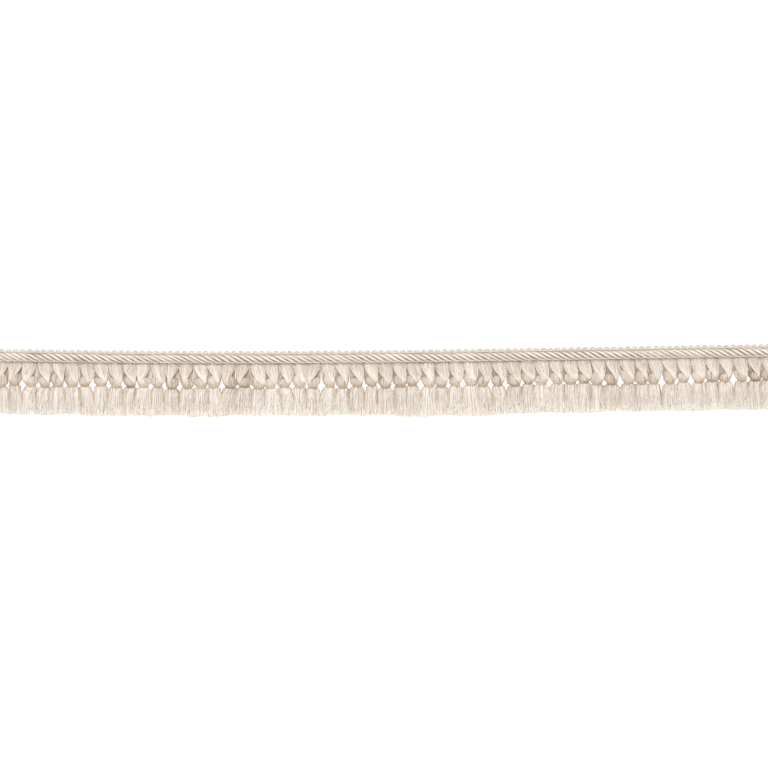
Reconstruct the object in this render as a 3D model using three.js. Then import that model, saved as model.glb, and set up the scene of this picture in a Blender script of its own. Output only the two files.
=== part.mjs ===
// A cut length of tassel trim that lies face up: a woven tape with a laid cord and a picot edge on its front,
// and a row of tassels, each hung on its own tuft of yarn and drawn in by a tie.
// Millimetres, +X along the trim, +Y towards the picot edge, +Z out of the face. The trim lies on z = 0.
import * as THREE from "three";

// Driving dimensions. Heights along Y are counted from the cord's lower edge.
const TASSELS = 55;
const PITCH = 10;
const LENGTH = TASSELS * PITCH;
const CLEARANCE = 0.3;

const TAPE = { low: 1.0, high: 7.6, thick: 1.2, steps: 14 };
const CORD = { width: 6.4, thick: 4.7, strands: 5, strandPitch: 4.95, groove: 0.82, stepsPerTurn: 7 };
const PICOT = { pitch: 4.95, base: 6.65, valley: 7.6, top: 9.3, thick: 1.6, ridge: 0.45, topShare: 0.4 };

// Sections down one tassel, in its own frame: half is a section's half width, low and high are its heights,
// lean is how far it goes sideways with the tuft's lean, and tilt how much of the head's turn it takes.
const TUFT = [
  { y: 0.7, offset: 2.45, half: 2.3, low: 0, high: 1.75, lean: 0 },
  { y: -7.0, offset: 2.15, half: 1.95, low: 0, high: 2.9, lean: 0.8 },
];
const HEAD = [
  { y: -10.6, half: 3.2, inner: 0.08, low: 0.7, high: 4.3, lean: 1.4, tilt: 0.5 },
  { y: -11.8, half: 4.2, inner: 0.5, low: 0.4, high: 5.1, lean: -0.4, tilt: 1 },
  { y: -14.6, half: 4.15, inner: 0.5, low: 0.3, high: 5.1, lean: -0.5, tilt: 1 },
  { y: -15.6, half: 2.9, inner: 0.5, low: 0.8, high: 4.1, lean: 0, tilt: 0.2 },
  { y: -16.2, half: 3.3, inner: 0.45, low: 0.3, high: 4.6, lean: 0, tilt: 0 },
  { y: -17.5, half: 3.3, inner: 0.4, low: 0.3, high: 4.5, lean: 0, tilt: 0 },
];
const SHOULDER = { y: -19.6, half: 4.55, low: 0, high: 4.4 };
const BRUSH_TIP = { low: 0, high: 2.5, trimmed: 0.5 };
const LOCK_TOP_SHARE = 0.72;
const HEAD_SIDE_SHARE = 0.45;
const BRUSH_LOCKS = 3;
const WANDER = { lean: 0.12, headTilt: 0.18, brushEdge: 0.9 };

// How the trim lies: the cord's lower edge bows a little along its length.
const LIE = [
  { x: -LENGTH / 2, y: 1.55 },
  { x: -137, y: 0.0 },
  { x: 0, y: 0.65 },
  { x: 137, y: 2.7 },
  { x: LENGTH / 2, y: 4.95 },
];

// Runs of tassels from left to right: how many, how far their tufts lean to the right and how long they hang.
const RUNS = [
  { count: 3, lean: -0.9, hang: 36.5 },
  { count: 7, lean: 0.75, hang: 36.7 },
  { count: 1, lean: -0.65, hang: 37.1 },
  { count: 1, lean: 0.7, hang: 36.8 },
  { count: 1, lean: -0.65, hang: 36.4 },
  { count: 3, lean: 0.75, hang: 36.7 },
  { count: 2, lean: -0.95, hang: 36.3 },
  { count: 4, lean: 0.8, hang: 36.5 },
  { count: 1, lean: -0.85, hang: 36.5 },
  { count: 5, lean: 0.8, hang: 36.6 },
  { count: 7, lean: 0.8, hang: 37.9 },
  { count: 5, lean: 0.9, hang: 36.8 },
  { count: 6, lean: 0.98, hang: 36.9 },
  { count: 9, lean: 0.8, hang: 36.9 },
];

const tasselRuns = RUNS.flatMap((run) => Array(run.count).fill(run));

// A repeatable unevenness between -1 and 1 for tassel or boundary number n.
function uneven(n, salt) {
  const s = Math.sin(n * 12.9898 + salt * 78.233) * 43758.5453;
  return 2 * (s - Math.floor(s)) - 1;
}

const lieCurve = new THREE.SplineCurve(LIE.map((p) => new THREE.Vector2(p.x, p.y)));
const liePoints = lieCurve.getPoints(200);

// Height of the cord's lower edge at x, straight on past the table's ends.
function lieAt(x) {
  const last = liePoints.length - 2;
  const after = liePoints.findIndex((p) => p.x > x);
  const i = Math.min(Math.max((after < 0 ? last + 1 : after) - 1, 0), last);
  const [a, b] = [liePoints[i], liePoints[i + 1]];
  return a.y + ((b.y - a.y) * (x - a.x)) / (b.x - a.x);
}

function slopeAt(x) {
  const span = 2;
  return Math.atan2(lieAt(x + span) - lieAt(x - span), 2 * span);
}

// A closed skin made of rings of points, each of which runs anticlockwise as seen from the next one.
function makeSkin() {
  const points = [];
  const faces = [];
  const fan = (ring) => ring.slice(2).forEach((last, k) => faces.push(ring[0], ring[k + 1], last));
  return {
    ring: (section) => section.map((point) => points.push(point) - 1),
    walls(rings) {
      for (let r = 0; r + 1 < rings.length; r++) {
        const [from, to] = [rings[r], rings[r + 1]];
        from.forEach((a, k) => {
          const next = (k + 1) % from.length;
          faces.push(a, from[next], to[next], a, to[next], to[k]);
        });
      }
    },
    closeStart: (ring) => fan([...ring].reverse()),
    closeEnd: (ring) => fan(ring),
    geometry() {
      const geometry = new THREE.BufferGeometry().setFromPoints(points);
      geometry.setIndex(faces);
      return geometry;
    },
  };
}

// A plain loft through sections, closed at both ends.
function loft(sections) {
  const skin = makeSkin();
  const rings = sections.map(skin.ring);
  skin.closeStart(rings[0]);
  skin.walls(rings);
  skin.closeEnd(rings.at(-1));
  return skin.geometry();
}

// The woven tape behind the heading, a flat strip that follows the lie.
function tapeGeometry() {
  const xs = Array.from({ length: TAPE.steps + 1 }, (_, i) => (i / TAPE.steps - 0.5) * LENGTH);
  const lower = xs.map((x) => new THREE.Vector2(x, lieAt(x) + TAPE.low));
  const upper = xs.map((x) => new THREE.Vector2(x, lieAt(x) + TAPE.high)).reverse();
  const outline = new THREE.Shape([...lower, ...upper]);
  return new THREE.ExtrudeGeometry(outline, { depth: TAPE.thick, bevelEnabled: false });
}

// The laid cord: an oval section whose strands turn as ridges along it.
function cordGeometry() {
  const lay = CORD.strands * CORD.strandPitch;
  const steps = Math.round((LENGTH / lay) * CORD.stepsPerTurn);
  const middleY = CORD.width / 2;
  const middleZ = TAPE.thick + CLEARANCE + CORD.thick / 2;
  const sections = [];
  for (let i = 0; i <= steps; i++) {
    const x = (i / steps - 0.5) * LENGTH;
    const turn = (2 * Math.PI * x) / lay;
    const section = [];
    for (let k = 0; k < 2 * CORD.strands; k++) {
      const angle = (Math.PI * k) / CORD.strands + turn;
      const depth = k % 2 ? CORD.groove : 1;
      section.push(
        new THREE.Vector3(
          x,
          lieAt(x) + middleY + (CORD.width / 2) * depth * Math.cos(angle),
          middleZ + (CORD.thick / 2) * depth * Math.sin(angle),
        ),
      );
    }
    sections.push(section);
  }
  return loft(sections);
}

// The picot edge: a strip of gimp with a raised ridge, whose loops stand up as a row of scallops.
function picotGeometry() {
  const loops = Math.floor(LENGTH / PICOT.pitch);
  const start = (-loops * PICOT.pitch) / 2;
  const low = TAPE.thick + CLEARANCE;
  const section = (x, edge) => [
    new THREE.Vector3(x, lieAt(x) + edge, low),
    new THREE.Vector3(x, lieAt(x) + PICOT.base + PICOT.ridge * (edge - PICOT.base), low + PICOT.thick),
    new THREE.Vector3(x, lieAt(x) + PICOT.base, low),
  ];
  const sections = [section(start, PICOT.valley)];
  for (let i = 0; i < loops; i++) {
    const middle = start + (i + 0.5) * PICOT.pitch;
    const reach = (PICOT.topShare * PICOT.pitch) / 2;
    sections.push(section(middle - reach, PICOT.top));
    sections.push(section(middle + reach, PICOT.top));
    sections.push(section(middle + PICOT.pitch / 2, PICOT.valley));
  }
  return loft(sections);
}

// A section of a lock of yarn, with a flat underside and a narrower top.
function lockSection({ x, y, half, low, high }) {
  return [
    new THREE.Vector3(x - half, y, low),
    new THREE.Vector3(x + half, y, low),
    new THREE.Vector3(x + half * LOCK_TOP_SHARE, y, high),
    new THREE.Vector3(x - half * LOCK_TOP_SHARE, y, high),
  ];
}

// An eight-sided section of the head: four points below from left to right, then four above.
function headSection({ y, half, inner, low, high, lean, tilt }, tuftLean, headTilt) {
  const across = [-1, -inner, inner, 1];
  const [middle, rise] = [(low + high) / 2, (high - low) / 2];
  const point = (share, side) => {
    const up = Math.abs(share) === 1 ? HEAD_SIDE_SHARE : 1;
    const x = share * half;
    return new THREE.Vector3(
      x + tuftLean * lean,
      y + x * tilt * Math.tan(headTilt),
      middle + side * up * rise,
    );
  };
  return [...across.map((share) => point(share, -1)), ...across.reverse().map((share) => point(share, 1))];
}

// One of the three cells side by side that a ring of the head is divided into, from 0 on the left.
function cellOf(ring, cell) {
  return [ring[cell], ring[cell + 1], ring[6 - cell], ring[7 - cell]];
}

// The boundary between the brushes of tassels n - 1 and n, from the line halfway between them.
function boundaryShift(n) {
  return n === 0 || n === TASSELS ? 0 : WANDER.brushEdge * uneven(n, 1);
}

// One tassel in a single skin: the two locks of its tuft run down into the head, which the tie draws in below,
// and the locks of its brush grow out of the tie side by side and fan out to the next tassels' brushes.
function tasselGeometry(n) {
  const run = tasselRuns[n];
  const lean = THREE.MathUtils.clamp(run.lean + WANDER.lean * uneven(n, 2), -1, 1);
  const headTilt = WANDER.headTilt * uneven(n, 4);
  const skin = makeSkin();
  const head = HEAD.map((s) => skin.ring(headSection(s, lean, headTilt)));
  skin.walls(head);

  const [topRing, tieRing] = [head[0], head.at(-1)];
  for (const side of [-1, 1]) {
    const tuft = TUFT.map((s) => skin.ring(lockSection({ ...s, x: side * s.offset + lean * s.lean })));
    skin.closeStart(tuft[0]);
    skin.walls([...tuft, cellOf(topRing, 1 + side)]);
  }
  skin.closeStart(cellOf(topRing, 1));

  const left = -PITCH / 2 + boundaryShift(n) + CLEARANCE / 2;
  const right = PITCH / 2 + boundaryShift(n + 1) - CLEARANCE / 2;
  for (let cell = 0; cell < BRUSH_LOCKS; cell++) {
    const share = (cell + 0.5) / BRUSH_LOCKS;
    const shoulder = skin.ring(
      lockSection({
        ...SHOULDER,
        x: SHOULDER.half * (2 * share - 1),
        half: SHOULDER.half / BRUSH_LOCKS - CLEARANCE / 2,
      }),
    );
    const tip = skin.ring(
      lockSection({
        x: left + share * (right - left),
        y: BRUSH_TIP.trimmed * uneven(n * BRUSH_LOCKS + cell, 3) - run.hang,
        half: (right - left) / 2 / BRUSH_LOCKS - CLEARANCE / 2,
        low: BRUSH_TIP.low,
        high: BRUSH_TIP.high,
      }),
    );
    skin.walls([cellOf(tieRing, cell), shoulder, tip]);
    skin.closeEnd(tip);
  }
  return skin.geometry();
}

function finish(color, roughness) {
  return new THREE.MeshStandardMaterial({ color, roughness, metalness: 0 });
}

const materials = {
  tape: finish(0xcfc2b0, 0.95),
  cord: finish(0xd3c4b3, 0.8),
  picot: finish(0xddd2c4, 0.85),
  tassel: finish(0xe4d7c7, 0.7),
};

function named(name, geometry, material) {
  const mesh = new THREE.Mesh(geometry, material);
  mesh.name = name;
  return mesh;
}

const trim = new THREE.Group();
trim.add(named("heading_tape", tapeGeometry(), materials.tape));
trim.add(named("laid_cord", cordGeometry(), materials.cord));
trim.add(named("picot_edge", picotGeometry(), materials.picot));
for (let n = 0; n < TASSELS; n++) {
  const x = (n + 0.5) * PITCH - LENGTH / 2;
  const tassel = named(`tassel_${String(n + 1).padStart(2, "0")}`, tasselGeometry(n), materials.tassel);
  tassel.position.set(x, lieAt(x), 0);
  tassel.rotation.z = slopeAt(x);
  trim.add(tassel);
}

// The origin is at the middle of the bounding box, on the surface that the trim lies on.
const box = new THREE.Box3().setFromObject(trim, true);
const middle = box.getCenter(new THREE.Vector3());
trim.position.set(-middle.x, -middle.y, -box.min.z);

export default trim;
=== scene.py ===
"""A cut length of tassel trim: woven tape, laid cord, picot edge and a row of tied yarn tassels, lying face up."""
import math
from collections import namedtuple

import bpy
import numpy as np
from mathutils import Matrix, Vector


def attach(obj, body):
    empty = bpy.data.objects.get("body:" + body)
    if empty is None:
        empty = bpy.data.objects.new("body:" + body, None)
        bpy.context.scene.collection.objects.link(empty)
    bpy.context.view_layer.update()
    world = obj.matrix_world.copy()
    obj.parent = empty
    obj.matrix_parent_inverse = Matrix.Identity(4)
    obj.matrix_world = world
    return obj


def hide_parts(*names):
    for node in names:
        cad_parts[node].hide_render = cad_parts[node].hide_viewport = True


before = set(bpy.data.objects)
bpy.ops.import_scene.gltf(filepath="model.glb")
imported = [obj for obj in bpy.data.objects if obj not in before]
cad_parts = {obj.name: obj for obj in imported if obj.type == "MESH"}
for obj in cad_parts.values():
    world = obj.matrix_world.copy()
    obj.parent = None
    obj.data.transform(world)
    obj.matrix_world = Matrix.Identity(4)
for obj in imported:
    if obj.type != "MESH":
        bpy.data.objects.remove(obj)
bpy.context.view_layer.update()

# Lengths below are in millimetres and become metres with MM.
MM = 0.001

# The picture: how wide it is on the trim, and where its middle lies from the cord's lower edge at x = 0.
PICTURE_WIDTH = 541.2
PICTURE_LEFT = 0.7
PICTURE_BELOW = 14.9
LENS = 200.0

# Colours as display values from 0 to 255.
IVORY = (255, 247, 236)
YARN = (226, 213, 198)
TAN = (172, 142, 104)
CORD_LIGHT = (255, 248, 238)
CORD_YARN = (246, 235, 220)
CORD_DEEP = (150, 133, 115)
PICOT_LIGHT = (236, 230, 222)
PICOT_YARN = (212, 202, 190)
PICOT_DEEP = (176, 162, 146)
TIE_LIGHT = (228, 210, 182)
TIE_YARN = (205, 184, 153)
TIE_DEEP = (132, 108, 78)
TAPE_LIGHT = (220, 208, 192)
TAPE_DEEP = (168, 150, 128)
FLOOR = (190, 190, 190)
FLOOR_GLOW = 0.9

# The tape, as heights above the cord's lower edge, and its thickness.
TAPE_LOW = 1.0
TAPE_HIGH = 7.6
TAPE_THICK = 1.2
# Its weave: the step along it, the rows across it, how far under the tape's faces it lies, and half its depth.
TAPE_STEP = 0.8
TAPE_ROWS = 13
TAPE_INSET = 0.15
TAPE_WEAVE = 0.09

# The cord: its middle above its own lower edge and above the floor, its strands, and half the size of their helix.
CORD_MIDDLE = (3.2, 3.85)
CORD_STRANDS = 5
CORD_STRAND_PITCH = 4.95
CORD_HELIX = (2.0, 1.15)
CORD_STRAND_RADIUS = 1.2
CORD_STEP = 0.9
# Across the cord's section, from its middle at 0 to its skin at 1: where the painted shade of a groove starts and
# ends, and how far that painted shade takes its tone down.
GROOVE = (0.7, 0.93)
GROOVE_PAINTED_SHADE = 0.52
CORD_TONE = 0.44
# Across the cord, from its lower edge at -1 to its upper edge at 1: how much lighter it is painted there, as
# painted light and shade for how the key light falls on its flanks.
CORD_FLANK_PAINTED_LIGHT_AND_SHADE = ((-1.0, 0.05), (-0.75, -0.04), (-0.5, -0.15), (-0.2, 0.08), (0.4, 0.06), (0.7, -0.11), (1.0, -0.32))

# The picot edge. A level is a height above the floor, and a loop's level rises by the arch towards its top.
PICOT_PITCH = 4.95
PICOT_BASE = 6.95
PICOT_STEP = 0.45
PICOT_TONE = 0.55
# The lower this is, the rounder the loops are.
PICOT_POINT = 0.7
PICOT_ARCH = 0.2
Loop = namedtuple("Loop", "height level")
PICOT_LOOPS = (Loop(height=2.05, level=2.9), Loop(height=0.95, level=3.2))
Thread = namedtuple("Thread", "y level tone")
# The foot threads' tones are raised as painted light, to lift the shadow that the cord casts on them.
PICOT_FOOT = (Thread(y=6.7, level=3.5, tone=0.5), Thread(y=7.3, level=3.1, tone=1.0))

# The stitches below the cord: how far apart, how far they slant, and the heights along one of them.
STITCH_PITCH = 1.25
STITCH_SLANT = 0.15
Stitch = namedtuple("Stitch", "y level")
STITCH = (Stitch(y=-1.9, level=2.9), Stitch(y=-1.1, level=3.4), Stitch(y=0.2, level=3.3), Stitch(y=1.4, level=2.0))


class Section(namedtuple("Section", "y lean across low high tilt tone", defaults=(0.0, 0.5))):
    """One section down a bundle: where its middle lies, its half width, heights, share of tilt and lightness, in
    which painted shade and painted light are set.
    """


# The tone falls towards the tuft's lower end as painted shade where the tuft tucks in beside the head.
FRONT_TUFT = [
    Section(y=0.9, lean=0.0, across=5.1, low=0.7, high=2.8, tone=0.46),
    Section(y=-2.0, lean=0.1, across=5.15, low=0.9, high=3.1, tone=0.52),
    Section(y=-4.8, lean=0.7, across=4.6, low=1.1, high=3.6, tone=0.53),
    Section(y=-7.8, lean=1.6, across=3.7, low=1.5, high=4.3, tone=0.54),
    Section(y=-10.8, lean=2.75, across=2.25, low=3.0, high=5.3, tone=0.54),
    Section(y=-13.0, lean=3.4, across=1.5, low=3.8, high=5.6, tone=0.48),
    Section(y=-14.5, lean=3.4, across=1.0, low=2.9, high=4.7, tone=0.40),
    Section(y=-15.4, lean=2.8, across=0.5, low=2.0, high=3.6, tone=0.3),
    Section(y=-16.1, lean=2.1, across=0.4, low=1.6, high=3.0, tone=0.2),
]
# The back tuft's low tone is painted shade: it is what shows, deep in shade, through the holes between the front
# tufts.
BACK_TUFT = [
    Section(y=0.9, lean=0.0, across=5.1, low=0.0, high=0.8, tone=0.28),
    Section(y=-4.0, lean=0.0, across=5.1, low=0.0, high=1.0, tone=0.28),
    Section(y=-8.5, lean=0.0, across=5.1, low=0.1, high=1.4, tone=0.3),
    Section(y=-11.2, lean=0.0, across=5.1, low=0.3, high=2.0, tone=0.3),
    Section(y=-13.0, lean=0.1, across=4.7, low=0.5, high=2.6, tone=0.26),
    Section(y=-14.2, lean=0.2, across=3.6, low=0.8, high=2.8, tone=0.22),
]
# The head's tone is painted shade: lower than the tuft's all over, and lowest at its top and bottom, where it tucks
# under the tuft and into the tie.
HEAD = [
    Section(y=-9.3, lean=0.1, across=1.9, low=0.9, high=2.9, tilt=0.6, tone=0.0),
    Section(y=-9.9, lean=-0.4, across=3.2, low=0.5, high=4.2, tilt=1.0, tone=0.2),
    Section(y=-11.5, lean=-0.6, across=4.3, low=0.3, high=5.1, tilt=1.0, tone=0.31),
    Section(y=-13.7, lean=-0.6, across=4.7, low=0.3, high=5.3, tilt=1.0, tone=0.34),
    Section(y=-15.2, lean=-0.4, across=4.3, low=0.3, high=4.8, tilt=0.7, tone=0.34),
    Section(y=-15.8, lean=-0.1, across=2.9, low=0.5, high=4.5, tilt=0.2, tone=0.1),
    Section(y=-16.4, lean=0.0, across=2.7, low=0.5, high=4.4, tone=0.0),
    Section(y=-17.4, lean=0.0, across=2.7, low=0.5, high=4.4, tone=0.0),
]
# The root's low tone is painted shade under the tie, rising over the shoulders.
BRUSH_ROOT = [
    Section(y=-16.7, lean=0.0, across=2.6, low=0.6, high=4.3, tone=0.28),
    Section(y=-16.9, lean=0.0, across=3.2, low=0.5, high=4.3, tone=0.42),
    Section(y=-17.3, lean=0.0, across=4.2, low=0.4, high=4.4, tone=0.56),
    Section(y=-18.1, lean=0.0, across=4.8, low=0.1, high=4.6, tone=0.66),
]
# Below the root, across is a share of half the room to the next brushes. The tone that rises at the tips is painted
# light.
BRUSH = [
    Section(y=-19.4, lean=0.0, across=1.01, low=0.0, high=4.8, tone=0.70),
    Section(y=-22.0, lean=0.0, across=1.03, low=0.0, high=4.8, tone=0.77),
    Section(y=-26.5, lean=0.0, across=1.07, low=0.0, high=4.4, tone=0.70),
    Section(y=-31.5, lean=0.0, across=1.13, low=0.0, high=3.6, tone=0.74),
    Section(y=-37.0, lean=0.0, across=1.22, low=0.0, high=2.6, tone=0.95),
]

# What runs along a guide: how many yarns in how many steps, their radius, how strongly they crowd to the top of the
# bundle, how far they wander, how much lighter the bundle's core and its flanks are painted (zero or below: painted
# shade inside the bundle and on its flanks), how unevenly the yarns are cut and how far a few cross over the rest.
Yarns = namedtuple("Yarns", "yarns steps radius crowd wander core flank fray cross", defaults=(0.0, 0.0))
FRONT_YARNS = Yarns(yarns=44, steps=11, radius=0.25, crowd=6.0, wander=0.10, core=-0.14, flank=-1.4)
BACK_YARNS = Yarns(yarns=20, steps=6, radius=0.27, crowd=1.0, wander=0.06, core=0.0, flank=-1.2)
HEAD_YARNS = Yarns(yarns=32, steps=13, radius=0.29, crowd=12.0, wander=0.05, core=-0.1, flank=-2.2)
HEAD_BACK_YARNS = Yarns(yarns=12, steps=7, radius=0.29, crowd=0.1, wander=0.05, core=-0.1, flank=-1.4)
BRUSH_YARNS = Yarns(
    yarns=110, steps=9, radius=0.24, crowd=2.0, wander=0.16, core=-0.12, flank=-4.4, fray=0.7, cross=5.0
)

# The core inside a bundle: its share of the bundle's width and height, and how far it stops short of cut tips.
CORE_SHARE = (0.82, 0.55)
CORE_SHORT = 4.5
CORE_SIDES = 10

# No two tassels are alike. How much the bulk and the lightness of one may differ:
BULK = 0.12
LIGHTNESS = 0.08
# How far its neck is pushed sideways and up or down, and how far along the yarn that push reaches:
NECK_PUSH = (1.25, 0.85)
PUSH_REACH = 4.5
# How far its tips swing, and how far its brush squeezes the next one:
BRUSH_SWING = 2.1
BRUSH_SQUEEZE = 1.0
# How much taller its head is, and how far the head turns, by itself and against the tuft's lean:
HEAD_PUFF = 0.25
HEAD_TURN = 2.0
HEAD_TURN_WITH_LEAN = -0.15
# How much narrower or wider its front tuft stays, and from where to where down the tuft that comes in:
TUFT_LOOSE = (-0.25, 0.45)
LOOSE_FROM, LOOSE_FULL = 4.0, 10.0
SHAPE_SEED, SQUEEZE_SEED, YARN_SEED = 300, 600, 101

# The binding thread round a neck: where it starts, how far down it goes in how many turns, the oval that it makes,
# its tone from top to bottom, falling downwards as painted shade on its lower turns, and how much more than the
# tassel's its lightness differs.
TIE_TOP = -15.5
TIE_HEIGHT = 1.8
TIE_TURNS, TIE_STEPS = 5, 14
TIE_HALF, TIE_MIDDLE, TIE_RISE = 3.2, 2.6, 2.2
TIE_TONE = (0.7, 0.32)
TIE_LIGHTNESS = 4.0

# The cut edge waves along the trim: length of each wave, how far it goes and where it starts.
CUT_WAVES = ((67, 0.3, 0.72), (38, 0.25, -2.28), (24, 0.25, -0.08))


def display_to_linear(colour):
    """Display values from 0 to 255 as the linear colour that a shader takes."""
    shares = [c / 255 for c in colour]
    return (*[s / 12.92 if s <= 0.04045 else ((s + 0.055) / 1.055) ** 2.4 for s in shares], 1.0)


def smooth(t):
    return t * t * (3 - 2 * t)


# Geometry node trees.
class Tree:
    """A geometry node tree that is being built, with the geometry first among its inputs."""

    def __init__(self, name, sizes):
        self.group = bpy.data.node_groups.new(name, "GeometryNodeTree")
        sockets = self.group.interface
        sockets.new_socket("Geometry", in_out="INPUT", socket_type="NodeSocketGeometry")
        for label, kind, value in sizes:
            socket = sockets.new_socket(label, in_out="INPUT", socket_type=f"NodeSocket{kind}")
            if value is not None:
                socket.default_value = value
        sockets.new_socket("Geometry", in_out="OUTPUT", socket_type="NodeSocketGeometry")
        self.start = self.group.nodes.new("NodeGroupInput")
        self.end = self.group.nodes.new("NodeGroupOutput")

    def size(self, label):
        return self.start.outputs[label]

    def add(self, kind, inputs=None, output=0, **settings):
        """Adds a node, feeds its inputs and returns one of its outputs."""
        node = self.group.nodes.new(kind)
        for key, value in settings.items():
            setattr(node, key, value)
        for key, value in (inputs or {}).items():
            self.feed(node.inputs[key], value)
        return node.outputs[output]

    def feed(self, socket, value):
        if isinstance(value, bpy.types.NodeSocket):
            self.group.links.new(value, socket)
        else:
            socket.default_value = value

    def math(self, operation, a, b=0.0, c=0.0):
        return self.add("ShaderNodeMath", {0: a, 1: b, 2: c}, operation=operation)

    def vector(self, x=0.0, y=0.0, z=0.0):
        return self.add("ShaderNodeCombineXYZ", {0: x, 1: y, 2: z})

    def read(self, name):
        return self.add("GeometryNodeInputNamedAttribute", {"Name": name}, data_type="FLOAT")

    def store(self, geometry, name, value, domain="CURVE"):
        return self.add(
            "GeometryNodeStoreNamedAttribute",
            {"Geometry": geometry, "Name": name, "Value": value},
            data_type="FLOAT",
            domain=domain,
        )

    def random(self, low, high, salt):
        seed = self.math("ADD", self.size("Seed"), float(salt))
        return self.add("FunctionNodeRandomValue", {2: low, 3: high, 8: seed}, output=1, data_type="FLOAT")

    def tubes(self, curves, sides, radius):
        """Round yarn along the curves, closed at both ends and shaded smooth."""
        profile = self.add("GeometryNodeCurvePrimitiveCircle", {"Resolution": sides, 4: 1.0}, mode="RADIUS")
        mesh = self.add(
            "GeometryNodeCurveToMesh",
            {"Curve": curves, "Profile Curve": profile, "Scale": radius, "Fill Caps": True},
        )
        return self.add("GeometryNodeSetShadeSmooth", {"Geometry": mesh})

    def finish(self, geometry):
        whole = self.add("GeometryNodeRealizeInstances", {"Geometry": geometry})
        dyed = self.add("GeometryNodeSetMaterial", {"Geometry": whole, "Material": self.size("Material")})
        self.feed(self.end.inputs[0], dyed)
        return self.group


# How yarns share a bundle: the first one's place and the outermost place across it, from -1 to 1, how narrow its
# flanks of painted shade are, and how few of its yarns stray.
FIRST_PLACE = 0.37
LAST_PLACE = 0.97
FLANK_SHADE_POWER = 4.0
STRAY_POWER = 5.0


def bundle_tree():
    """Fills each guide line's sections with yarns that run along it, and keeps the core that comes with them."""
    tree = Tree(
        "yarn_bundle",
        [
            ("Sides of a yarn", "Int", 3),
            ("Wander pitch", "Float", 2.2),
            ("Seed", "Int", 1),
            ("Material", "Material", None),
        ],
    )
    parts = tree.group.nodes.new("GeometryNodeSeparateGeometry")
    parts.domain = "POINT"
    tree.feed(parts.inputs["Geometry"], tree.start.outputs["Geometry"])
    tree.feed(parts.inputs["Selection"], tree.read("guide"))
    curves = tree.add("GeometryNodeMeshToCurve", {"Mesh": parts.outputs["Selection"]})

    copies = tree.group.nodes.new("GeometryNodeDuplicateElements")
    copies.domain = "SPLINE"
    tree.feed(copies.inputs["Geometry"], curves)
    tree.feed(copies.inputs["Amount"], tree.read("yarns"))
    golden = (math.sqrt(5) - 1) / 2
    place = tree.math("FRACT", tree.math("MULTIPLY_ADD", copies.outputs["Duplicate Index"], golden, FIRST_PLACE))
    place = tree.math("MULTIPLY_ADD", place, 2 * LAST_PLACE, -LAST_PLACE)
    yarns = tree.store(copies.outputs["Geometry"], "place", place)
    for salt, (name, low, high) in enumerate(
        [("depth", 0.0, 1.0), ("hue", 0.0, 1.0), ("cut", -1.0, 1.0), ("stray", -1.0, 1.0), ("phase", 0.0, 90.0)]
    ):
        yarns = tree.store(yarns, name, tree.random(low, high, salt))

    along = tree.add("GeometryNodeSplineParameter")
    late = tree.math("MULTIPLY", along, along)
    # Yarns at a bundle's flanks are darkened as painted shade, fading towards the yarn's end.
    flank = tree.math("POWER", tree.math("ABSOLUTE", tree.read("place")), FLANK_SHADE_POWER)
    flank = tree.math("MULTIPLY", flank, tree.math("SUBTRACT", 1.0, late))
    shade = tree.math("MULTIPLY_ADD", flank, tree.read("flank"), tree.read("hue"))
    yarns = tree.store(yarns, "shade", shade, "POINT")

    noise_at = tree.vector(tree.math("MULTIPLY", along, tree.size("Wander pitch")), tree.read("phase"))
    noise = tree.add("ShaderNodeTexNoise", {"Vector": noise_at, "Scale": 1.0, "Detail": 1.0}, noise_dimensions="2D")
    wander = tree.math("MULTIPLY", tree.math("SUBTRACT", noise, 0.5), tree.read("wander"))
    across = tree.math("MAXIMUM", tree.math("MINIMUM", tree.math("ADD", tree.read("place"), wander), 1.0), -1.0)
    hump = tree.math("SQRT", tree.math("SUBTRACT", 1.0, tree.math("MULTIPLY", across, across)))
    sunk = tree.math("POWER", tree.read("depth"), tree.read("crowd"))
    height = tree.math("MULTIPLY", hump, tree.math("MULTIPLY_ADD", sunk, -2.0, 1.0))
    stray = tree.read("stray")
    far = tree.math("POWER", tree.math("ABSOLUTE", stray), STRAY_POWER)
    astray = tree.math("MULTIPLY", tree.math("MULTIPLY", tree.math("SIGN", stray), far), tree.read("cross"))
    aside = tree.math("MULTIPLY", tree.read("across"), across)
    frayed = tree.math("MULTIPLY", tree.math("MULTIPLY", late, tree.read("fray")), tree.read("cut"))
    offset = tree.vector(
        tree.math("MULTIPLY_ADD", astray, late, aside),
        tree.math("MULTIPLY_ADD", aside, tree.read("slant"), frayed),
        tree.math("MULTIPLY", tree.read("rise"), height),
    )
    yarns = tree.add("GeometryNodeSetPosition", {"Geometry": yarns, "Offset": offset})

    radius = tree.read("radius")
    spot = tree.group.nodes.new("ShaderNodeSeparateXYZ")
    tree.feed(spot.inputs[0], tree.add("GeometryNodeInputPosition"))
    rested = tree.vector(spot.outputs[0], spot.outputs[1], tree.math("MAXIMUM", spot.outputs[2], radius))
    yarns = tree.add("GeometryNodeSetPosition", {"Geometry": yarns, "Position": rested})
    tubes = tree.tubes(yarns, tree.size("Sides of a yarn"), radius)
    joined = tree.group.nodes.new("GeometryNodeJoinGeometry")
    for geometry in (tubes, parts.outputs["Inverted"]):
        tree.feed(joined.inputs[0], geometry)
    return tree.finish(joined.outputs[0])


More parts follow.
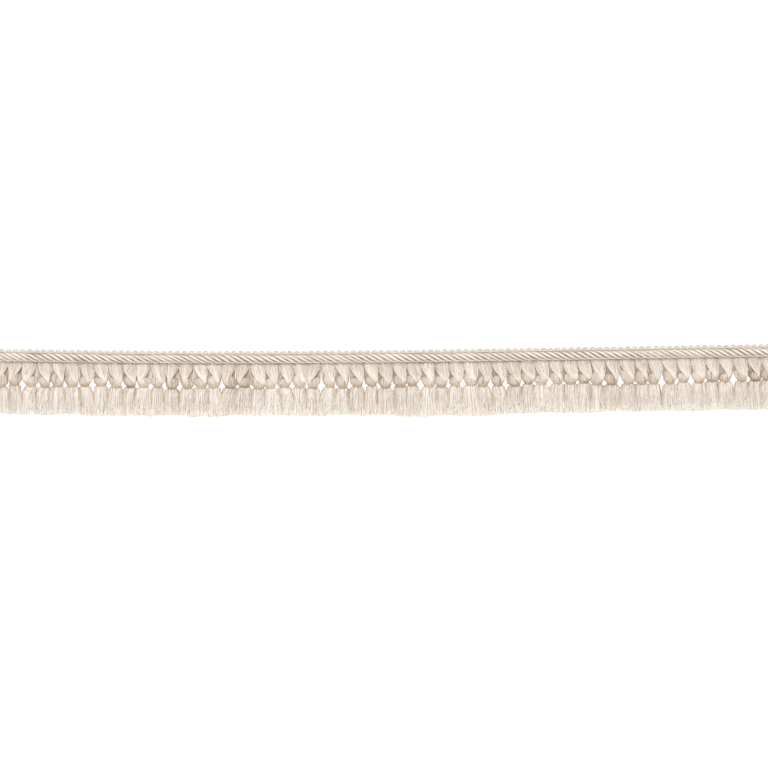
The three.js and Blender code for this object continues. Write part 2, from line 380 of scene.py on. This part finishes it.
def plied_tree():
    """Turns plies round each guide line, as in a plied thread or one strand of a laid cord."""
    tree = Tree(
        "plied_thread",
        [
            ("Plies", "Int", 3),
            ("Turn length", "Float", 4 * MM),
            ("Ply circle", "Float", 0.4 * MM),
            ("Ply radius", "Float", 0.4 * MM),
            ("Sides of a ply", "Int", 3),
            ("Seed", "Int", 1),
            ("Material", "Material", None),
        ],
    )
    copies = tree.group.nodes.new("GeometryNodeDuplicateElements")
    copies.domain = "SPLINE"
    curves = tree.add("GeometryNodeMeshToCurve", {"Mesh": tree.start.outputs["Geometry"]})
    tree.feed(copies.inputs["Geometry"], curves)
    tree.feed(copies.inputs["Amount"], tree.size("Plies"))
    share = tree.math("DIVIDE", copies.outputs["Duplicate Index"], tree.size("Plies"))
    plies = tree.store(copies.outputs["Geometry"], "share", share)
    plies = tree.store(plies, "shade", tree.random(0.0, 1.0, 0))
    length = tree.add("GeometryNodeSplineParameter", output=1)
    turns = tree.math("ADD", tree.math("DIVIDE", length, tree.size("Turn length")), tree.read("share"))
    angle = tree.math("MULTIPLY", turns, math.tau)
    normal = tree.add("GeometryNodeInputNormal")
    side = tree.add(
        "ShaderNodeVectorMath", {0: tree.add("GeometryNodeInputTangent"), 1: normal}, operation="CROSS_PRODUCT"
    )
    parts = []
    for direction, operation in ((normal, "COSINE"), (side, "SINE")):
        reach = tree.math("MULTIPLY", tree.math(operation, angle), tree.size("Ply circle"))
        parts.append(tree.add("ShaderNodeVectorMath", {0: direction, "Scale": reach}, operation="SCALE"))
    offset = tree.add("ShaderNodeVectorMath", {0: parts[0], 1: parts[1]}, operation="ADD")
    plies = tree.add("GeometryNodeSetPosition", {"Geometry": plies, "Offset": offset})
    return tree.finish(tree.tubes(plies, tree.size("Sides of a ply"), tree.size("Ply radius")))


def guide_mesh(name, lines, core=None):
    """A mesh of guide lines, each (points in metres, values for its attributes), with a core if there is one."""
    points, edges, faces, values = [], [], [], {}
    for line, facts in lines:
        first = len(points)
        points.extend(tuple(p) for p in line)
        edges.extend((first + i, first + i + 1) for i in range(len(line) - 1))
        for key, value in facts.items():
            values.setdefault(key, []).extend(np.broadcast_to(value, len(line)))
    if core:
        first = len(points)
        core_points, core_faces, facts = core
        points.extend(core_points)
        faces = [[first + i for i in face] for face in core_faces]
        for key in values:
            values[key].extend(facts.get(key, [0.0] * len(core_points)))
    mesh = bpy.data.meshes.new(name)
    mesh.from_pydata(points, edges, faces)
    for key, numbers in values.items():
        mesh.attributes.new(key, "FLOAT", "POINT").data.foreach_set("value", np.array(numbers, np.float32))
    return mesh


def planted(name, mesh, tree, sizes):
    """An object whose guide lines the tree turns into yarn, with the tree's named inputs set."""
    piece = bpy.data.objects.new(name, mesh)
    bpy.context.scene.collection.objects.link(piece)
    modifier = piece.modifiers.new(tree.name, "NODES")
    modifier.node_group = tree
    for item in tree.interface.items_tree:
        if item.in_out == "INPUT" and item.name in sizes:
            modifier[item.identifier] = sizes[item.name]
    return piece


def grown(pieces):
    """Turns each planted piece into the plain mesh that its tree makes, and puts it in its place."""
    bpy.context.view_layer.update()
    depsgraph = bpy.context.evaluated_depsgraph_get()
    made = [bpy.data.meshes.new_from_object(p.evaluated_get(depsgraph), depsgraph=depsgraph) for p, _ in pieces]
    for (piece, place), mesh in zip(pieces, made):
        piece.modifiers.clear()
        piece.data = mesh
        mesh.name = piece.name
        mesh.transform(place)


# Where the trim lies, read from the frame.
def node_points(node):
    return np.array([v.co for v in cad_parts[node].data.vertices]) / MM


tape_points = node_points("heading_tape")
tape_x = np.unique(tape_points[:, 0].round(2))
SAME_X = 0.05
tape_low_y = np.array([tape_points[np.abs(tape_points[:, 0] - x) < SAME_X][:, 1].min() for x in tape_x])
TASSEL_NODES = sorted(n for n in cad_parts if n.startswith("tassel_"))
LEFT_END, RIGHT_END = tape_x[0], tape_x[-1]
TASSEL_PITCH = (RIGHT_END - LEFT_END) / len(TASSEL_NODES)


def lie(x):
    """Height of the cord's lower edge at x."""
    return np.interp(x, tape_x, tape_low_y) - TAPE_LOW


def place_of(n):
    """The middle line of tassel n as a matrix in metres: its own frame hangs from the cord's lower edge."""
    x = LEFT_END + (n + 0.5) * TASSEL_PITCH
    slope = math.atan2(lie(x + 2) - lie(x - 2), 4)
    return Matrix.Translation(Vector((x, lie(x), 0)) * MM) @ Matrix.Rotation(slope, 4, "Z")


TasselShape = namedtuple("TasselShape", "lean tilt left right hang bulk lightness push swing puff loose")
# Where a solid is read: the row that shows its lean and how much of the lean is there, the thickness of a row, the
# rows that show its turn, and the height below which only tips lie.
LEAN_ROW = (-10.6, 1.4)
ROW_HALF = 0.25
TILT_ROWS = (-15.4, -13.7)
TIPS_BELOW = -30


def measured_shape(n):
    """How tassel n leans, turns and spreads, read from its solid, and how its yarn differs."""
    back = np.array(place_of(n).inverted())
    points = node_points(TASSEL_NODES[n])
    x, y = (points @ back[:2, :3].T + back[:2, 3] / MM).T
    ring = x[np.abs(y - LEAN_ROW[0]) < ROW_HALF]
    lean = (ring.min() + ring.max()) / 2 / LEAN_ROW[1]
    head = (y > TILT_ROWS[0]) & (y < TILT_ROWS[1])
    west, east = np.argmin(np.where(head, x, np.inf)), np.argmax(np.where(head, x, -np.inf))
    tilt = (y[east] - y[west]) / (x[east] - x[west])
    tips = y < TIPS_BELOW
    chance = np.random.default_rng(SHAPE_SEED + n)
    return TasselShape(
        lean=lean,
        tilt=HEAD_TURN * tilt + HEAD_TURN_WITH_LEAN * lean,
        left=x[tips].min(),
        right=x[tips].max(),
        hang=-y[tips].mean(),
        bulk=1 + BULK * chance.uniform(-1, 1),
        lightness=LIGHTNESS * chance.uniform(-1, 1),
        push=np.array(NECK_PUSH) * chance.uniform(-1, 1, 2),
        swing=BRUSH_SWING * chance.uniform(-1, 1),
        puff=1 + HEAD_PUFF * chance.uniform(-1, 1),
        loose=chance.uniform(*TUFT_LOOSE),
    )


def cut_wave(x):
    return sum(reach * math.sin(math.tau * x / length + start) for length, reach, start in CUT_WAVES)


def hang_at(border):
    """How long the brushes are at the border before tassel number border, where two of them meet."""
    near = [SHAPES[n].hang for n in (border - 1, border) if 0 <= n < len(SHAPES)]
    return sum(near) / len(near) + cut_wave(LEFT_END + border * TASSEL_PITCH)


def meeting(n):
    """Where brush n meets the one before it, in the frame of brush n."""
    if n == 0:
        return SHAPES[0].left
    if n == len(SHAPES):
        return SHAPES[-1].right - TASSEL_PITCH
    squeeze = BRUSH_SQUEEZE * np.random.default_rng(SQUEEZE_SEED + n).uniform(-1, 1)
    return (SHAPES[n].left + SHAPES[n - 1].right - TASSEL_PITCH) / 2 + squeeze


def tassel_shape(n):
    """The measured shape, with its brush eased into its neighbours' brushes."""
    hang = (hang_at(n) + hang_at(n + 1)) / 2
    return SHAPES[n]._replace(left=meeting(n), right=meeting(n + 1) + TASSEL_PITCH, hang=hang)


SHAPES = [measured_shape(n) for n in range(len(TASSEL_NODES))]


# Materials.
def plain_material(name, **sockets):
    material = bpy.data.materials.new(name)
    material.use_nodes = True
    shader = material.node_tree.nodes["Principled BSDF"]
    for key, value in sockets.items():
        shader.inputs[key.replace("_", " ")].default_value = value
    return material, material.node_tree.nodes, material.node_tree.links, shader


# How much each of these counts in a yarn's lightness, and where on the ramp its three colours stand.
SHADE_SHARE, FIBRE_SHARE, PATCH_SHARE, WHOLE_SHARE = 0.16, 0.2, 0.24, 0.8
DEEP_STOP, MIDDLE_STOP, LIGHT_STOP = 0.18, 0.5, 0.93
PATCH_SCALE = 55.0
FIBRE_DEPTH = 0.05


def yarn_material(name, deep, middle, light, streaks, roughness=0.62, sheen=0.25):
    """Spun yarn: each yarn has its own shade, fibres streak along it, and the painted shade that the tone and shade
    attributes carry makes deep places darker.
    """
    material, nodes, links, shader = plain_material(
        name,
        Sheen_Weight=sheen,
        Sheen_Roughness=0.45,
        Sheen_Tint=display_to_linear(light),
        Specular_IOR_Level=0.35,
    )
    where = nodes.new("ShaderNodeTexCoord").outputs["Object"]
    mapping = nodes.new("ShaderNodeMapping")
    mapping.inputs["Scale"].default_value = streaks
    links.new(where, mapping.inputs["Vector"])
    fibre = nodes.new("ShaderNodeTexNoise")
    fibre.inputs["Scale"].default_value = 1.0
    fibre.inputs["Detail"].default_value = 3.0
    links.new(mapping.outputs[0], fibre.inputs["Vector"])
    patch = nodes.new("ShaderNodeTexNoise")
    patch.inputs["Scale"].default_value = PATCH_SCALE
    links.new(where, patch.inputs["Vector"])

    def attribute(key):
        node = nodes.new("ShaderNodeAttribute")
        node.attribute_name = key
        return node.outputs["Fac"]

    def mixed(a, share, b):
        """a times share, with b added."""
        node = nodes.new("ShaderNodeMath")
        node.operation = "MULTIPLY_ADD"
        for socket, value in zip(node.inputs, (a, share, b)):
            if isinstance(value, float):
                socket.default_value = value
            else:
                links.new(value, socket)
        return node.outputs[0]

    value = mixed(attribute("shade"), SHADE_SHARE, attribute("tone"))
    value = mixed(fibre.outputs["Fac"], FIBRE_SHARE, value)
    value = mixed(patch.outputs["Fac"], PATCH_SHARE, value)
    value = mixed(value, WHOLE_SHARE, 0.0)
    ramp = nodes.new("ShaderNodeValToRGB")
    stops = ramp.color_ramp.elements
    stops[0].position, stops[0].color = DEEP_STOP, display_to_linear(deep)
    stops[1].position, stops[1].color = LIGHT_STOP, display_to_linear(light)
    stops.new(MIDDLE_STOP).color = display_to_linear(middle)
    links.new(value, ramp.inputs["Fac"])
    links.new(ramp.outputs["Color"], shader.inputs["Base Color"])

    rough = nodes.new("ShaderNodeMapRange")
    rough.inputs["To Min"].default_value = roughness - 0.1
    rough.inputs["To Max"].default_value = roughness + 0.12
    links.new(fibre.outputs["Fac"], rough.inputs["Value"])
    links.new(rough.outputs[0], shader.inputs["Roughness"])
    bump = nodes.new("ShaderNodeBump")
    bump.inputs["Strength"].default_value = 0.35
    bump.inputs["Distance"].default_value = FIBRE_DEPTH * MM
    links.new(fibre.outputs["Fac"], bump.inputs["Height"])
    links.new(bump.outputs[0], shader.inputs["Normal"])
    return material


STREAKS_DOWN = (5200, 420, 5200)
STREAKS_ALONG = (500, 4200, 4200)
tassel_material = yarn_material("tassel yarn", TAN, YARN, IVORY, STREAKS_DOWN)
cord_material = yarn_material("cord yarn", CORD_DEEP, CORD_YARN, CORD_LIGHT, STREAKS_ALONG, roughness=0.55)
picot_material = yarn_material("picot gimp", PICOT_DEEP, PICOT_YARN, PICOT_LIGHT, STREAKS_ALONG, roughness=0.7)
tie_material = yarn_material("binding thread", TIE_DEEP, TIE_YARN, TIE_LIGHT, STREAKS_ALONG, roughness=0.5)
tape_material = yarn_material("woven tape", TAPE_DEEP, TAPE_LIGHT, YARN, STREAKS_ALONG, roughness=0.8)


# Camera, first among the things made.
def make_camera():
    data = bpy.data.cameras.new("camera")
    data.lens = LENS
    data.clip_end = 20.0
    camera = bpy.data.objects.new("camera", data)
    distance = PICTURE_WIDTH * MM / 2 * data.lens / (data.sensor_width / 2)
    camera.location = (-PICTURE_LEFT * MM, (lie(0.0) - PICTURE_BELOW) * MM, distance)
    bpy.context.scene.collection.objects.link(camera)
    bpy.context.scene.camera = camera


make_camera()


# Tassels.
def eased(rows, steps):
    """The rows of a table as a smooth run of steps rows, closest together where its rows are."""
    rows = np.asarray(rows, float)
    rows = np.vstack([2 * rows[0] - rows[1], rows, 2 * rows[-1] - rows[-2]])
    at = np.linspace(1, len(rows) - 2, steps)
    i = np.minimum(at.astype(int), len(rows) - 3)
    t = (at - i)[:, None]
    a, b, c, d = (rows[i + k] for k in (-1, 0, 1, 2))
    return b + t / 2 * (c - a + t * (2 * a - 5 * b + 4 * c - d + t * (3 * (b - c) + d - a)))


def bundle_line(sections, yarns, shape):
    """The guide line down a bundle, with what each of its steps holds."""
    y, lean, across, low, high, tilt, tone = eased(sections, yarns.steps).T
    pushed = np.exp(-(((y - TIE_TOP + TIE_HEIGHT / 2) / PUSH_REACH) ** 2))
    bulk = 1 + (shape.bulk - 1) * pushed
    x = lean * shape.lean + pushed * shape.push[0]
    line = np.stack([x, y + pushed * shape.push[1], (low + high) / 2], 1) * MM
    facts = {
        "across": across * bulk * MM,
        "rise": (high - low) / 2 * MM,
        "slant": tilt * shape.tilt,
        "tone": tone + shape.lightness,
    }
    return line, facts


def brush_sections(shape):
    """The brush from the tie to the tips, where it meets the next tassels' brushes."""
    half = (shape.right - shape.left) / 2
    rows = [row._replace(across=half * row.across) for row in BRUSH]
    return [*BRUSH_ROOT, *rows[:-1], rows[-1]._replace(y=-shape.hang)]


def loosened(rows, loose):
    """A front tuft that gathers more or less than most on its way down to the tie."""
    shares = [smooth(min(max((-row.y - LOOSE_FROM) / (LOOSE_FULL - LOOSE_FROM), 0), 1)) for row in rows]
    return [row._replace(across=row.across * (1 + loose * share)) for row, share in zip(rows, shares)]


def tapered_core(bundles):
    """Closed bodies a little inside the bundles, so that no light comes through between the yarns, with the painted
    shade of the bundle's inside in their tone.
    """
    sides = CORE_SIDES
    points, faces, tones = [], [], []
    for line, facts, yarns in bundles:
        first = len(points)
        rings = len(line)
        for i, ((x, y, z), a, r, tilt, tone) in enumerate(zip(line, *facts.values())):
            if yarns.fray and i == rings - 1:
                y += CORE_SHORT * MM
            for k in range(sides):
                angle = math.tau * k / sides
                out = CORE_SHARE[0] * a * math.cos(angle)
                points.append((x + out, y + tilt * out, z + CORE_SHARE[1] * r * math.sin(angle)))
                # The core's tone is its bundle's plus the core offset, which is painted shade of the bundle's
                # inside.
                tones.append(tone + yarns.core)
        for i in range(rings - 1):
            for k in range(sides):
                a = first + i * sides + k
                b = first + i * sides + (k + 1) % sides
                faces.append((a, b, b + sides, a + sides))
        faces.append(tuple(first + k for k in reversed(range(sides))))
        faces.append(tuple(first + (rings - 1) * sides + k for k in range(sides)))
    return points, faces, {"tone": tones}


def tassel_piece(n):
    """One tassel, planted in its own frame: tuft, head and brush of single yarns round a core."""
    shape = tassel_shape(n)
    middle = (shape.left + shape.right) / 2
    brush = brush_sections(shape)
    head = [row._replace(y=TIE_TOP + (row.y - TIE_TOP) * shape.puff) for row in HEAD]
    bundles, lines = [], []
    for sections, yarns in (
        (loosened(FRONT_TUFT, shape.loose), FRONT_YARNS),
        (BACK_TUFT, BACK_YARNS),
        (head, HEAD_YARNS),
        (head, HEAD_BACK_YARNS),
        (brush, BRUSH_YARNS),
    ):
        line, facts = bundle_line(sections, yarns, shape)
        if sections is brush:
            down = line[:, 1] / MM - BRUSH_ROOT[1].y
            spread = smooth(np.clip(down / (BRUSH[1].y - BRUSH_ROOT[1].y), 0, 1))
            line[:, 0] += (middle * spread - shape.swing * down / shape.hang) * MM
            facts["slant"][-1] = -(hang_at(n + 1) - hang_at(n)) / TASSEL_PITCH
        if yarns is not HEAD_BACK_YARNS:
            bundles.append((line, facts, yarns))
        yarn_facts = {
            "guide": 1.0,
            "yarns": float(yarns.yarns),
            "radius": yarns.radius * MM,
            "crowd": yarns.crowd,
            "wander": yarns.wander * 2,
            "fray": yarns.fray * MM,
            "cross": yarns.cross * MM,
            "flank": yarns.flank,
        }
        lines.append((line, facts | yarn_facts))
    mesh = guide_mesh(f"tassel_guides_{n + 1:02d}", lines, tapered_core(bundles))
    sizes = {"Seed": YARN_SEED + n, "Material": tassel_material}
    return planted(f"tassel_yarn_{n + 1:02d}", mesh, BUNDLE, sizes), place_of(n)


# Heading.
def run_of_x(step):
    count = int(round((RIGHT_END - LEFT_END) / step)) + 1
    return np.linspace(LEFT_END, RIGHT_END, count)


def cord_piece():
    """The laid cord: strands in an oval helix, each of a ring of fine yarns with little twist."""
    x = run_of_x(CORD_STEP)
    lines = []
    for strand in range(CORD_STRANDS):
        turn = math.tau * (x / (CORD_STRANDS * CORD_STRAND_PITCH) + strand / CORD_STRANDS)
        y = lie(x) + CORD_MIDDLE[0] + CORD_HELIX[0] * np.cos(turn)
        z = CORD_MIDDLE[1] + CORD_HELIX[1] * np.sin(turn)
        lines.append((np.stack([x, y, z], 1) * MM, {"tone": 0.5}))
    sizes = {
        "Plies": 5,
        "Turn length": 30 * MM,
        "Ply circle": 0.72 * MM,
        "Ply radius": 0.48 * MM,
        "Sides of a ply": 4,
        "Seed": 7,
        "Material": cord_material,
    }
    return planted("laid_cord_strands", guide_mesh("cord_guides", lines), PLIED, sizes), Matrix.Identity(4)


def paint_cord_light_and_shade(piece):
    """Paints shade into the cord towards its middle, so that its grooves read as grooves, and paints light and
    shade along its flanks.
    """
    mesh = piece.data
    points = np.empty(len(mesh.vertices) * 3, np.float32)
    mesh.vertices.foreach_get("co", points)
    x, y, z = points.reshape(-1, 3).T / MM
    reach = np.array(CORD_HELIX) + CORD_STRAND_RADIUS
    out = np.hypot((y - lie(x) - CORD_MIDDLE[0]) / reach[0], (z - CORD_MIDDLE[1]) / reach[1])
    # Painted shade in the grooves, darkest towards the cord's middle.
    crest = smooth(np.clip((out - GROOVE[0]) / (GROOVE[1] - GROOVE[0]), 0, 1))
    tone = CORD_TONE + GROOVE_PAINTED_SHADE * (crest - 1)
    # Painted light and shade across the cord: its upper edge darker, where the key light falls most.
    tone += np.interp((y - lie(x) - CORD_MIDDLE[0]) / reach[0], *zip(*CORD_FLANK_PAINTED_LIGHT_AND_SHADE))
    mesh.attributes["tone"].data.foreach_set("value", tone.astype(np.float32))


def picot_piece():
    """The picot edge: two rows of loops one inside the other, on a foot of two straight threads."""
    x = run_of_x(PICOT_STEP)
    arch = np.abs(np.sin(math.pi * x / PICOT_PITCH)) ** PICOT_POINT
    lines = []
    for loop in PICOT_LOOPS:
        line = np.stack([x, lie(x) + PICOT_BASE + loop.height * arch, loop.level + PICOT_ARCH * arch], 1) * MM
        lines.append((line, {"tone": PICOT_TONE}))
    for thread in PICOT_FOOT:
        line = np.stack([x, lie(x) + thread.y, np.full_like(x, thread.level)], 1) * MM
        lines.append((line, {"tone": thread.tone}))
    sizes = {
        "Plies": 3,
        "Turn length": 1.9 * MM,
        "Ply circle": 0.3 * MM,
        "Ply radius": 0.3 * MM,
        "Seed": 11,
        "Material": picot_material,
    }
    return planted("picot_gimp", guide_mesh("picot_guides", lines), PLIED, sizes), Matrix.Identity(4)


def tie_piece():
    """The binding threads: some turns of thread round the neck of each tassel."""
    t = np.linspace(0, TIE_TURNS, TIE_TURNS * TIE_STEPS + 1)
    lines = []
    for n, shape in enumerate(SHAPES):
        place = place_of(n)
        angle = math.tau * t + n
        x = TIE_HALF * shape.bulk * np.cos(angle)
        y = TIE_TOP - TIE_HEIGHT * t / TIE_TURNS
        z = TIE_MIDDLE + TIE_RISE * np.sin(angle)
        turns = np.stack([x, y, z], 1) + (*shape.push, 0)
        # Painted shade: the lower turns of the tie are darker.
        tone = np.interp(t / TIE_TURNS, (0, 1), TIE_TONE) + TIE_LIGHTNESS * shape.lightness
        lines.append(([tuple(place @ Vector(p)) for p in turns * MM], {"tone": tone}))
    sizes = {
        "Plies": 2,
        "Turn length": 1.5 * MM,
        "Ply circle": 0.13 * MM,
        "Ply radius": 0.17 * MM,
        "Seed": 13,
        "Material": tie_material,
    }
    return planted("binding_threads", guide_mesh("tie_guides", lines), PLIED, sizes), Matrix.Identity(4)


def stitch_piece():
    """The stitches that hold the tufts to the heading: short thread ends below the cord."""
    lines = []
    for x in np.arange(LEFT_END + STITCH_PITCH / 2, RIGHT_END, STITCH_PITCH):
        line = [((x + STITCH_SLANT * y) * MM, (lie(x) + y) * MM, z * MM) for y, z in STITCH]
        lines.append((line, {"tone": 0.4}))
    sizes = {
        "Plies": 1,
        "Ply circle": 0.0,
        "Ply radius": 0.2 * MM,
        "Seed": 17,
        "Material": tassel_material,
    }
    return planted("heading_stitches", guide_mesh("stitch_guides", lines), PLIED, sizes), Matrix.Identity(4)


def tape_piece():
    """The woven tape: a thin strip whose threads go over and under each other on both faces."""
    x = run_of_x(TAPE_STEP)
    rows = TAPE_ROWS
    points, faces = [], []
    for face in (TAPE_INSET, TAPE_THICK - TAPE_INSET):
        for i, at in enumerate(x):
            for j in range(rows):
                y = lie(at) + TAPE_LOW + (TAPE_HIGH - TAPE_LOW) * j / (rows - 1)
                over = TAPE_WEAVE if (i + j) % 2 else -TAPE_WEAVE
                points.append((at * MM, y * MM, (face + over) * MM))
    columns = len(x)
    back = columns * rows

    def quad(i, j, base, flip):
        a = base + i * rows + j
        corners = (a, a + rows, a + rows + 1, a + 1)
        faces.append(corners[::-1] if flip else corners)

    for i in range(columns - 1):
        for j in range(rows - 1):
            quad(i, j, 0, True)
            quad(i, j, back, False)
    rim = [i * rows for i in range(columns)]
    rim += [(columns - 1) * rows + j for j in range(1, rows)]
    rim += [i * rows + rows - 1 for i in range(columns - 2, -1, -1)]
    rim += list(range(rows - 2, 0, -1))
    for a, b in zip(rim, rim[1:] + rim[:1]):
        faces.append((a, b, b + back, a + back))
    mesh = bpy.data.meshes.new("woven_tape")
    mesh.from_pydata(points, [], faces)
    mesh.attributes.new("tone", "FLOAT", "POINT").data.foreach_set("value", np.full(len(points), 0.5, np.float32))
    mesh.shade_smooth()
    mesh.materials.append(tape_material)
    piece = bpy.data.objects.new("woven_tape", mesh)
    bpy.context.scene.collection.objects.link(piece)
    return piece


BUNDLE = bundle_tree()
PLIED = plied_tree()
tassels = [tassel_piece(n) for n in range(len(TASSEL_NODES))]
cord, picots, ties, stitches = cord_piece(), picot_piece(), tie_piece(), stitch_piece()
grown([*tassels, cord, picots, ties, stitches])
paint_cord_light_and_shade(cord[0])
tape = tape_piece()

for (piece, _), node in zip(tassels, TASSEL_NODES):
    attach(piece, "root")
    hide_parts(node)
for piece, node, slot in (
    (cord[0], "laid_cord", "cord_yarn"),
    (picots[0], "picot_edge", "picot_yarn"),
    (tape, "heading_tape", "tape_yarn"),
):
    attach(piece, "root")
    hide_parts(node)
for piece in (ties[0], stitches[0]):
    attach(piece, "root")


# Floor and light, in metres and watts.
def make_floor():
    mesh = bpy.data.meshes.new("floor")
    reach = 6.0
    corners = [(-reach, -reach, 0), (reach, -reach, 0), (reach, reach, 0), (-reach, reach, 0)]
    mesh.from_pydata(corners, [], [(0, 1, 2, 3)])
    material, _, _, shader = plain_material("floor", Roughness=0.9, Specular_IOR_Level=0.1)
    shader.inputs["Base Color"].default_value = display_to_linear(FLOOR)
    shader.inputs["Emission Color"].default_value = (1.0, 1.0, 1.0, 1.0)
    shader.inputs["Emission Strength"].default_value = FLOOR_GLOW
    mesh.materials.append(material)
    floor = bpy.data.objects.new("floor", mesh)
    bpy.context.scene.collection.objects.link(floor)


def make_softbox(name, place, size, power):
    light = bpy.data.lights.new(name, "AREA")
    light.shape = "DISK"
    light.size = size
    light.energy = power
    box = bpy.data.objects.new(name, light)
    box.location = place
    box.rotation_mode = "QUATERNION"
    box.rotation_quaternion = Vector(place).to_track_quat("Z", "Y")
    bpy.context.scene.collection.objects.link(box)


def make_world(strength):
    world = bpy.data.worlds.new("studio")
    world.use_nodes = True
    background = world.node_tree.nodes["Background"]
    background.inputs["Color"].default_value = (1.0, 1.0, 1.0, 1.0)
    background.inputs["Strength"].default_value = strength
    bpy.context.scene.world = world


make_floor()
make_softbox("key", place=(-0.5, 1.35, 2.2), size=1.2, power=42.0)
make_softbox("fill", place=(1.2, -1.4, 2.2), size=1.6, power=14.0)
make_world(strength=0.62)
bpy.context.scene.view_settings.view_transform = "Standard"
